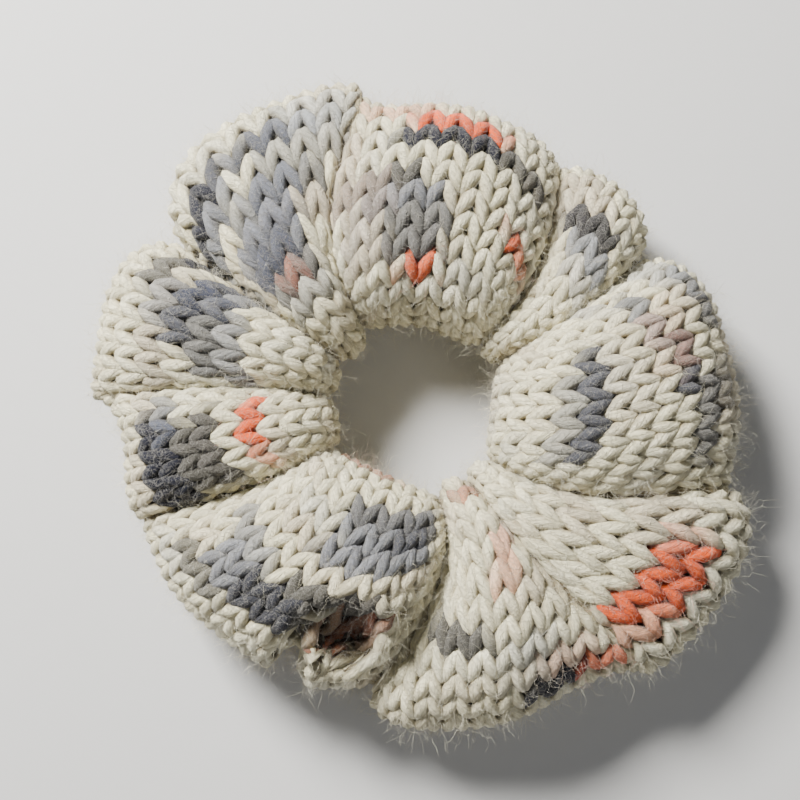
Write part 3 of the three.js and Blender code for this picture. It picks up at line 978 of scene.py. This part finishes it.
@dataclass
class Knitting:
    """Stocking stitch knitted on the cloth, one span at a time."""

    cloth: Cloth
    yarn: float = 1.32
    reach: float = 0.92
    bulge: float = 1.9
    front: float = 1.0
    back: float = 3.0
    squash: float = 0.35
    steps: int = 12
    sides: int = 8
    hair_density: float = 880000.0
    hair_length: float = 3.3
    hair_width: float = 0.020
    hair_curl: float = 2.8
    hair_rings: int = 5
    hair_sides: int = 3
    hair_columns: int = 24
    hair_seed: int = 20
    lining_depth: float = 3.1
    lining_wall: float = 0.5
    lining_shade: float = 0.22
    purl: float = 1.25
    wale_ridge: float = 0.75

    def __post_init__(self) -> None:
        """Make the trees and the colours that all the spans share."""
        self.cloth.lay()
        self.chart = DyedYarn(self.cloth, steps=self.steps).chart()
        self.knit_tree = self.knit_group()
        self.hair_tree = self.hair_group()

    @staticmethod
    def group(name: str, inputs: dict[str, float | int | None]) -> tuple[Tree, Sock]:
        """A new Geometry Nodes tree.

        Args:
            name: Its name.
            inputs: First value of each input after the geometry; None for a material.

        Returns:
            The tree and its geometry input.
        """
        nodes = bpy.data.node_groups.new(name, "GeometryNodeTree")
        kinds = {int: "NodeSocketInt", float: "NodeSocketFloat", type(None): "NodeSocketMaterial"}
        for way in ("INPUT", "OUTPUT"):
            nodes.interface.new_socket("Geometry", in_out=way, socket_type="NodeSocketGeometry")
        for title, value in inputs.items():
            socket = nodes.interface.new_socket(title, in_out="INPUT", socket_type=kinds[type(value)])
            if value is not None:
                socket.default_value = value
        tree = Tree(nodes)
        return tree, tree.add("NodeGroupInput")

    @staticmethod
    def close(tree: Tree, line: Sock, sides: Sock | int, size: Sock, given: Sock) -> bpy.types.NodeTree:
        """End a tree with round yarn along its lines, in Realize Instances and Set Material.

        Args:
            tree: The tree.
            line: The lines.
            sides: Points round the yarn.
            size: Radius of the yarn.
            given: The tree's inputs.

        Returns:
            The finished group.
        """
        ring = tree.add("GeometryNodeCurvePrimitiveCircle", {"mode": "RADIUS"},
                        {"Resolution": sides, "Radius": 1.0})
        yarn = tree.add("GeometryNodeCurveToMesh", None, {0: line, 1: ring, "Scale": size, "Fill Caps": True})
        real = tree.add("GeometryNodeRealizeInstances", None, {0: yarn})
        dressed = tree.add("GeometryNodeSetMaterial", None, {0: real, "Material": given["Material"]})
        tree.add("NodeGroupOutput", None, {0: dressed})
        return tree.nodes

    def knit_group(self) -> bpy.types.NodeTree:
        """The tree that knits courses of loops over a grid of cloth."""
        tree, given = self.group("knit", {
            "Stitches": 10, "Courses": self.cloth.rows, "Steps": self.steps, "Sides": self.sides,
            "Yarn Radius": self.yarn * MM, "Loop Reach": self.reach, "Loop Bulge": self.bulge,
            "Front Depth": self.front * MM, "Back Depth": self.back * MM, "First Stitch": 0.0,
            "Unevenness": 1.0, "Material": None})
        steps, stitches, uneven = given["Steps"], given["Stitches"], given["Unevenness"]
        line = tree.add("GeometryNodeMeshLine", None, {"Count": stitches * steps + 1.0})
        curve = tree.add("GeometryNodeMeshToCurve", None, {0: line})
        courses = tree.add("GeometryNodeDuplicateElements", {"domain": "SPLINE"},
                           {0: curve, "Amount": given["Courses"]})
        point = tree.add("GeometryNodeSplineParameter")["Index"]
        turn = point / steps * (2 * math.pi)
        swing = turn.math("COSINE")
        lift = 1.0 - swing * swing
        across = point / steps + (turn * 2.0).math("SINE") * given["Loop Bulge"] * (0.5 / math.pi)
        up = courses["Duplicate Index"] + 0.5 - swing * given["Loop Reach"]
        wander = tree.noise(tree.vector(across + given["First Stitch"], up, 0.0), 0.55, 2.0)["Color"]
        drift = tree.add("ShaderNodeSeparateXYZ", None, {0: wander})
        across = across + (drift - 0.5) * 0.28 * uneven
        up = up + (drift["Y"] - 0.5) * 0.32 * uneven
        spot = tree.vector((across + 1.0) / (stitches + 2.0), (up + 2.0) / (given["Courses"] + 4.0), 0.0)
        cloth = tree.named("cloth", "FLOAT_VECTOR")
        wanted = ((tree.add("GeometryNodeInputPosition"), "FLOAT_VECTOR"),
                  (tree.named("outward", "FLOAT_VECTOR"), "FLOAT_VECTOR"), (tree.named("tight"), "FLOAT"))
        here, away, tight = (tree.add("GeometryNodeSampleUVSurface", {"data_type": kind},
                                      {0: given, 1: value, 2: cloth, 3: spot}) for value, kind in wanted)
        rise = lift * (given["Back Depth"] - given["Front Depth"]) - given["Back Depth"]
        rise = rise + (drift["Z"] - 0.5) * 0.0009 * uneven
        moved = tree.joined("ADD", here, tree.scaled(away, rise * tight))
        bent = tree.add("GeometryNodeSetPosition", None, {0: courses, "Position": moved})
        size = (lift * (0.36 - swing * 0.10) + 0.64) * tight * given["Yarn Radius"]
        size = size * ((drift["Y"] - 0.5) * 0.25 * uneven + 1.0)
        return self.close(tree, bent, given["Sides"], size, given)

    def hair_group(self) -> bpy.types.NodeTree:
        """The tree that raises loose curled hairs on the yarn."""
        tree, given = self.group("hairs", {
            "Density": self.hair_density, "Length": self.hair_length * MM, "Width": self.hair_width * MM,
            "Curl": self.hair_curl * MM, "Seed": 3, "Material": None})
        seed = given["Seed"]
        roots = tree.add("GeometryNodeDistributePointsOnFaces", {"distribute_method": "RANDOM"},
                         {0: given, "Density": tree.named("shown") * given["Density"], "Seed": seed})
        line = tree.add("GeometryNodeMeshLine", {"mode": "OFFSET"},
                        {"Count": self.hair_rings, "Offset": (0.0, 0.0, 1 / (self.hair_rings - 1))})
        strand = tree.add("GeometryNodeMeshToCurve", None, {0: line})
        angle = tree.add("FunctionNodeRandomValue", {"data_type": "FLOAT_VECTOR"},
                         {0: (-1.15, -1.15, -3.1), 1: (1.15, 1.15, 3.1), "Seed": seed})
        tilt = tree.add("FunctionNodeEulerToRotation", None, {0: angle})
        facing = tree.add("FunctionNodeRotateRotation", {"rotation_space": "LOCAL"},
                          {0: roots["Rotation"], 1: tilt})
        length = tree.add("FunctionNodeRandomValue", {"data_type": "FLOAT"},
                          {0: 0.25, 1: 1.0, "Seed": seed + 1.0})
        length = length * length * given["Length"] * 1.5
        planted = tree.add("GeometryNodeInstanceOnPoints", None,
                           {0: roots, "Instance": strand, "Rotation": facing, "Scale": length})
        real = tree.add("GeometryNodeRealizeInstances", None, {0: planted})
        along = tree.add("GeometryNodeSplineParameter")
        eddies = tree.noise(tree.add("GeometryNodeInputPosition"), 640.0, 2.0)["Color"]
        curl = tree.scaled(tree.joined("SUBTRACT", eddies, (0.5, 0.5, 0.52)), along * given["Curl"] * 3.2)
        bent = tree.add("GeometryNodeSetPosition", None, {0: real, "Offset": curl})
        size = (1.0 - along * 0.7) * given["Width"]
        return self.close(tree, bent, self.hair_sides, size, given)

    def grid_mesh(self, index: int) -> Piece:
        """A helper mesh of one span's cloth, for the knit tree to sample."""
        cloth = self.cloth
        rows, columns = cloth.window(index, 2)
        where = np.ix_(rows, columns[cloth.detail:-cloth.detail])
        points = cloth.grid[where] * MM
        high, wide = points.shape[:2]
        made = put("helper", points.reshape(-1, 3), quads(high, wide), Stuff.WOOL)
        v, u = np.meshgrid(np.arange(high) / (high - 1), np.arange(wide) / (wide - 1), indexing="ij")
        tight = np.clip(cloth.tight[where], 0.05, 2.0) ** self.squash
        store(made.data, "cloth", "FLOAT_VECTOR", "vector", np.stack([u, v, 0 * u], axis=2))
        store(made.data, "outward", "FLOAT_VECTOR", "vector", cloth.out[where])
        store(made.data, "tight", "FLOAT", "value", np.clip(tight, 0.40, 1.06))
        return made

    def courses(self, index: int, base: Piece) -> Piece:
        """Knit one span.

        Args:
            index: The span.
            base: Its helper mesh.

        Returns:
            The stitches, coloured with dye darkened by painted shade, and mapped.
        """
        rows, count, first = self.cloth.rows, self.cloth.count(index), self.cloth.first_stitch(index)
        made = grown(base, self.knit_tree, {"Stitches": count, "First Stitch": float(first),
                                            "Material": Stuff.WOOL.material}, f"stitches_{index + 1}")
        rings = count * self.steps + 1
        points = values_of(made.data.vertices, "co", 3, np.float32).reshape(rows, rings, self.sides, 3)
        middles = points.mean(axis=2)
        lengths = travelled(middles) + (first * 0.013 + np.arange(rows)[:, None] * 0.0371)
        map_tubes(made.data, lengths, self.sides)
        wanted = (first * self.steps + np.arange(rings)) % self.chart.shape[1]
        shown, stand, open_cloth = self.facing(points, middles, first)
        # Painted shade: the dye is darkened where the yarn turns away from the outside, at loop heads and
        # feet and in creases, and tinted warmer in the dark.
        light = (np.clip(0.10 + 1.25 * stand, 0.05, 1.0) * (0.22 + 0.78 * open_cloth))[..., None]
        painted_shade_tint = np.concatenate([light, light ** 1.12, light ** 1.35], axis=3)
        paint(made.data, (self.chart[:, wanted][:, :, None] * painted_shade_tint).reshape(-1, 3))
        store(made.data, "shown", "FLOAT", "value", shown)
        return made

    def facing(self, points: Array, middles: Array, first: int) -> tuple[Array, Array, Array]:
        """Find which side of the yarn is out.

        Args:
            points: The stitches' points as (course, ring, side, 3).
            middles: Middle of each ring.
            first: Number of the first stitch.

        Returns:
            How far hairs can stand on each point, from 0 to 1, how far it faces out, from -1 to 1,
            and how open the cloth is there, from 0 in a crease to 1.
        """
        cloth = self.cloth
        step = np.arange(points.shape[1])
        columns = np.round((first + step / self.steps) * cloth.detail).astype(int) % cloth.grid.shape[1]
        turn = 2 * math.pi * step / self.steps
        up = np.arange(cloth.rows)[:, None] + 0.5 - self.reach * np.cos(turn)[None, :]
        rows = np.round(up * cloth.detail).astype(int) % cloth.grid.shape[0]
        stand = (unit(points - middles[:, :, None]) * cloth.out[rows, columns][:, :, None]).sum(axis=3)
        leg = (np.sin(turn) ** 2)[None, :, None]
        open_cloth = np.clip(cloth.tight[rows, columns] * 2.2 - 0.2, 0, 1)[:, :, None]
        shown = np.clip(stand * 2.0, 0, 1) * np.clip(leg * 1.6 - 0.3, 0, 1) * open_cloth
        return shown, stand - (1 - leg) * 0.35, open_cloth

    def hairs(self, index: int, stitches: Piece) -> Piece:
        """Raise the loose hairs of one span."""
        sizes = {"Seed": self.hair_seed + index, "Material": Stuff.HAIR.material}
        made = grown(stitches, self.hair_tree, sizes, f"hairs_{index + 1}")
        count = len(made.data.vertices) // (self.hair_rings * self.hair_sides)
        map_tubes(made.data, np.zeros((count, self.hair_rings)), self.hair_sides, self.hair_columns)
        return made

    def lining(self, index: int) -> Piece:
        """The wrong side of the cloth over one span: a thin sheet with a ridge for each row, coloured in
        painted shade.
        """
        cloth = self.cloth
        rows, columns = cloth.window(index, 0)
        where = np.ix_(rows, columns)
        row = np.arange(len(rows))[:, None] / cloth.detail
        stitch = np.arange(len(columns)) / cloth.detail
        tight = np.clip(cloth.tight[where], 0.05, 1.1) ** self.squash
        ridge = self.purl * np.cos(2 * math.pi * row)
        ridge = ridge + self.wale_ridge * np.cos(2 * math.pi * stitch) * (1 - 0.55 * cloth.crowd[where])
        depth = (self.lining_depth - ridge) * np.clip(tight, 0.55, 1.0) + cloth.inset[where]
        points = np.stack([(cloth.base[where] - cloth.out[where] * (depth + wall)[:, :, None])[:-1]
                           for wall in (0.0, self.lining_wall)])
        points[:, :, :, 2] = np.maximum(points[:, :, :, 2], 0.1)
        high, wide = points.shape[1:3]
        number = np.arange(2 * high * wide).reshape(2, high, wide)
        above = np.roll(number, -1, axis=1)
        walls = [np.stack((number[k, :, :-1], number[k, :, 1:], above[k, :, 1:], above[k, :, :-1]), axis=-1)
                 for k in (0, 1)]
        walls += [np.stack((number[0, :, k], above[0, :, k], above[1, :, k], number[1, :, k]), axis=-1)
                  for k in (0, wide - 1)]
        faces = [side.reshape(-1, 4)[:, ::way] for side, way in zip(walls, (1, -1, 1, -1))]
        made = put(f"lining_{index + 1}", points.reshape(-1, 3) * MM, np.concatenate(faces), Stuff.BACK)
        self.map_lining(made.data, high, wide)
        steps = np.round((cloth.first_stitch(index) + stitch) * self.steps).astype(int) % self.chart.shape[1]
        courses = np.round(np.arange(high) / cloth.detail).astype(int) % cloth.rows
        # Painted shade: the wrong side takes the dye at only lining_shade of its brightness.
        colours = self.chart[np.ix_(courses, steps)] * self.lining_shade
        paint(made.data, np.tile(colours.reshape(-1, 3), (2, 1)))
        return made

    @staticmethod
    def map_lining(mesh: Mesh, high: int, wide: int) -> None:
        """Map both faces and the edges of the lining, row by row.

        Args:
            mesh: The lining.
            high: Points round the tube.
            wide: Points across the span.
        """
        corners = values_of(mesh.loops, "vertex_index").reshape(-1, 4)
        side, rest = corners // (high * wide), corners % (high * wide)
        row, column = rest // wide, rest % wide
        wraps = (row.max(axis=1) - row.min(axis=1) > 1)[:, None] & (row == 0)
        up = (row + wraps * high) / high
        edge = (side.min(axis=1) != side.max(axis=1))[:, None]
        end = np.where(column[:, :1] == 0, 0.94, 0.97)
        u = np.where(edge, end + side * 0.02, side * 0.47 + column / (wide - 1) * 0.44)
        unwrap(mesh, "OFBake", np.stack([u, up * 0.98 + 0.01], axis=2))
        unwrap(mesh, "twist", np.stack([up * high / 4.0, column / 4.0 * 0.53], axis=2))

    def held(self, index: int) -> tuple[Vector, Vector]:
        """Where a span starts to leave its first body and where it has reached its second.

        Args:
            index: The span.

        Returns:
            The two points.
        """
        cloth = self.cloth
        first, last, bearings = cloth.ends(index)
        start, end = (np.array([math.cos(b), math.sin(b)]) * cloth.tie_ring for b in bearings)
        way = unit(end - start)
        low = (first @ way).max() + 0.5
        high = (last @ way).min() - 0.5
        if high - low < 1.0:
            middle = (high + low) / 2
            low, high = middle - 0.5, middle + 0.5
        return tuple(Vector((*(cloth.middle + way * d), cloth.height)) * MM for d in (low, high))

    def fasten(self, piece: Piece, index: int, part: str, slot: str) -> None:
        """Put a piece of one span in place of its CAD nodes, which are hidden, and bake its transform.

        Args:
            piece: The piece.
            index: The span.
            part: What the CAD nodes' names start with.
            slot: The CAD material it stands for; not used.
        """
        first, second = self.cloth.bodies(index)
        covered = (first, second) if second.endswith("_a") else (first,)
        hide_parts(*(part + body.removeprefix("lobe") for body in covered))
        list(self.held(index))
        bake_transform(piece)
        log.info("%s: %d faces", piece.name, len(piece.data.polygons))

    def build(self) -> None:
        """Knit, line and brush every span, and put each piece in place of its CAD nodes."""
        for index in range(LOBES):
            base = self.grid_mesh(index)
            stitches = self.courses(index, base)
            discard(base)
            hairs = self.hairs(index, stitches)
            lining = self.lining(index)
            for piece in (stitches, hairs, lining):
                self.fasten(piece, index, "cover", "wool")
            width = self.cloth.count(index) * self.cloth.stitch * MM
            length = self.cloth.rows * self.cloth.row * MM


@dataclass
class HairTie:
    """The elastic tie inside the cover, the yarn that closes the cover and its two tails."""

    knitting: Knitting
    strands: int = 8
    strand: float = 0.30
    weave: float = 0.16
    turn_length: float = 14.0
    threads: int = 6
    thread: float = 0.40
    thread_twist: float = 0.01
    thread_ring: float = 0.84
    rings: int = 30
    whip: float = 0.55
    whip_steps: int = 12
    tail: float = 0.8
    tail_rings: int = 40
    tail_inset: float = 3.7

    def around(self, index: int, turns: list[tuple[float, float]], radius: float, weave: float,
               size: float, name: str, stuff: Stuff) -> Piece:
        """Lay threads round the tie's centre line over one span.

        Args:
            index: The span.
            turns: Starting angle and turns per millimetre of each thread.
            radius: Distance of the threads from the centre line.
            weave: How far they pass over and under each other.
            size: Radius of a thread.
            name: The piece's name.
            stuff: The finish.

        Returns:
            The threads.
        """
        cloth = self.knitting.cloth
        _, _, (start, end) = cloth.ends(index)
        bearing = np.linspace(start, end + 2 * math.pi * (end < start), self.rings)
        out = np.stack([np.cos(bearing), np.sin(bearing), 0 * bearing], axis=1)
        points = out * cloth.tie_ring + np.array([*cloth.middle, cloth.height])
        travel = bearing * cloth.tie_ring
        rise = np.array([0.0, 0.0, 1.0])
        lines = []
        for n, (first, twist) in enumerate(turns):
            angle = first + 2 * math.pi * twist * travel
            phase = 2 * math.pi * self.strands * travel / self.turn_length + n * math.pi
            away = radius + weave * np.sign(twist) * np.cos(phase)
            side = out * (away * np.cos(angle))[:, None] + rise * (away * np.sin(angle))[:, None]
            lines.append(points + side)
        lines = np.array(lines) * MM
        return tubes(name, lines, np.full(lines.shape[:2], size * MM), 6, stuff)

    def seam(self, index: int) -> Piece:
        """The yarn that whips the cover's long edges together, over one span."""
        cloth = self.knitting.cloth
        step = np.arange(cloth.count(index) * self.whip_steps + 1) / self.whip_steps
        row = (0.5 * np.cos(2 * math.pi * step)) % cloth.rows
        depth = 1.5 - np.sin(2 * math.pi * step)
        high, wide = cloth.grid.shape[:2]
        x = ((cloth.first_stitch(index) + step) * cloth.detail) % wide
        y = (row * cloth.detail) % high
        x0, y0 = np.floor(x).astype(int), np.floor(y).astype(int)
        fx, fy = (x - x0)[:, None], (y - y0)[:, None]
        x0, x1, y0, y1 = x0 % wide, (x0 + 1) % wide, y0 % high, (y0 + 1) % high
        near, far = (cloth.grid[line, x0] * (1 - fx) + cloth.grid[line, x1] * fx for line in (y0, y1))
        line = (near * (1 - fy) + far * fy - cloth.out[y0, x0] * depth[:, None])[None] * MM
        radii = np.full(line.shape[:2], self.whip * MM)
        made = tubes(f"closing_yarn_{index + 1}", line, radii, 7, Stuff.WOOL)
        paint(made.data, np.tile(np.array(Dye.CREAM.value) * 0.85, (len(made.data.vertices), 1)))
        return made

    def tails(self) -> None:
        """Darn the two yarn ends away inside lobe 8."""
        cloth = self.knitting.cloth
        places = {"cast_on_tail": (196, -0.55, 0.3), "bind_off_tail": (252, -0.35, 0.5)}
        for node, (angle, start, end) in places.items():
            across = np.linspace(start, end, self.tail_rings)
            turn = np.full(self.tail_rings, math.radians(angle))
            line, centre = (cloth.lobe_point(7, across, turn + by) for by in (0, math.pi))
            line = line + unit(centre - line) * (self.tail_inset + 0.25 * np.sin(14 * across))[:, None]
            line[:, :2] += cloth.middle
            radii = self.tail * (1 + 0.06 * np.sin(40 * across))[None] * MM
            tail = tubes(node.replace("_", "-"), line[None] * MM, radii, 9, Stuff.WOOL)
            paint(tail.data, np.tile(np.array(Dye.CREAM.value), (len(tail.data.vertices), 1)))
            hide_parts(node)
            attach(tail, "lobe_8")

    def build(self) -> None:
        """Make the tie, the seam and the tails, and dress the sleeve that joins the tie."""
        knitting = self.knitting
        circle = [2 * math.pi * n / self.strands for n in range(self.strands)]
        braid = [(a, d / self.turn_length) for d in (1, -1) for a in circle]
        core = [(2 * math.pi * n / self.threads, self.thread_twist) for n in range(self.threads)]
        radius = knitting.cloth.tie_cord - self.strand - self.weave
        layers = (("braid", braid, radius, self.weave, self.strand, Stuff.BRAID),
                  ("rubber", core, self.thread_ring, 0.0, self.thread, Stuff.RUBBER))
        for index in range(LOBES):
            for (slot, turns, away, weave, size, stuff), part in zip(layers, ("tie_braid", "tie_core")):
                threads = self.around(index, turns, away, weave, size, f"{slot}_{index + 1}", stuff)
                knitting.fasten(threads, index, part, slot)
            knitting.fasten(self.seam(index), index, "seam_yarn", "wool")
        self.tails()
        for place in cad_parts["tie_joint"].material_slots:
            place.material = Stuff.JOINT.material


@dataclass
class Studio:
    """A pale table, soft lights and the camera."""

    cloth: Cloth
    elevation: float = 82.0
    distance: float = 0.192
    lens: float = 50.0
    aim: Place = (-2.6, 0.9, 8.0)

    def table(self) -> None:
        """A wide pale table top."""
        half, rings = 1.2, 24
        xs = np.linspace(-half, half, rings)
        points = np.array([(x, y, -0.0002) for y in xs for x in xs])
        put("table", points, quads(rings, rings), Stuff.TABLE)

    def light(self, name: str, place: Place, size: float, power: float, colour: Rgb) -> None:
        """Hang an area light that looks at the scrunchie.

        Args:
            name: Its name.
            place: Where it hangs, in metres.
            size: Its width.
            power: Its power in watts.
            colour: Its colour.
        """
        data = bpy.data.lights.new(name, "AREA")
        data.size = size
        data.energy = power
        data.color = colour
        lamp = bpy.data.objects.new(name, data)
        lamp.location = place
        lamp.rotation_euler = (Vector((0, 0, 0.01)) - Vector(place)).to_track_quat("-Z", "Y").to_euler()
        bpy.context.scene.collection.objects.link(lamp)

    def camera(self) -> None:
        """Set the camera nearly overhead, looking down at the ring."""
        data = bpy.data.cameras.new("camera")
        data.lens = self.lens
        data.clip_start = 0.01
        eye = bpy.data.objects.new("camera", data)
        middle = Vector((*self.cloth.middle, 0.0)) * MM
        target = middle + Vector(self.aim) * MM
        turn = math.radians(self.elevation)
        eye.location = target + Vector((0.0, -math.cos(turn), math.sin(turn))) * self.distance
        eye.rotation_euler = (target - eye.location).to_track_quat("-Z", "Y").to_euler()
        bpy.context.scene.collection.objects.link(eye)
        bpy.context.scene.camera = eye

    def build(self) -> None:
        """Lay the table, hang the lights and place the camera."""
        self.table()
        self.camera()
        self.light("key", (-0.26, 0.30, 0.34), 0.16, 10.5, (1.0, 0.98, 0.93))
        self.light("fill", (0.40, -0.25, 0.45), 0.5, 0.6, (0.96, 0.98, 1.0))
        self.light("low", (-0.15, -0.45, 0.25), 0.4, 0.45, (1.0, 0.98, 0.95))
        world = bpy.data.worlds.new("studio")
        world.use_nodes = True
        background = world.node_tree.nodes["Background"]
        background.inputs["Color"].default_value = (0.9, 0.93, 1.0, 1.0)
        background.inputs["Strength"].default_value = 0.06
        bpy.context.scene.world = world


def main() -> None:
    """Build the scrunchie, then the studio."""
    cloth = Cloth()
    knitting = Knitting(cloth)
    knitting.build()
    HairTie(knitting).build()
    Studio(cloth).build()


if __name__ == "__main__":
    logging.basicConfig(level=logging.INFO)
    main()
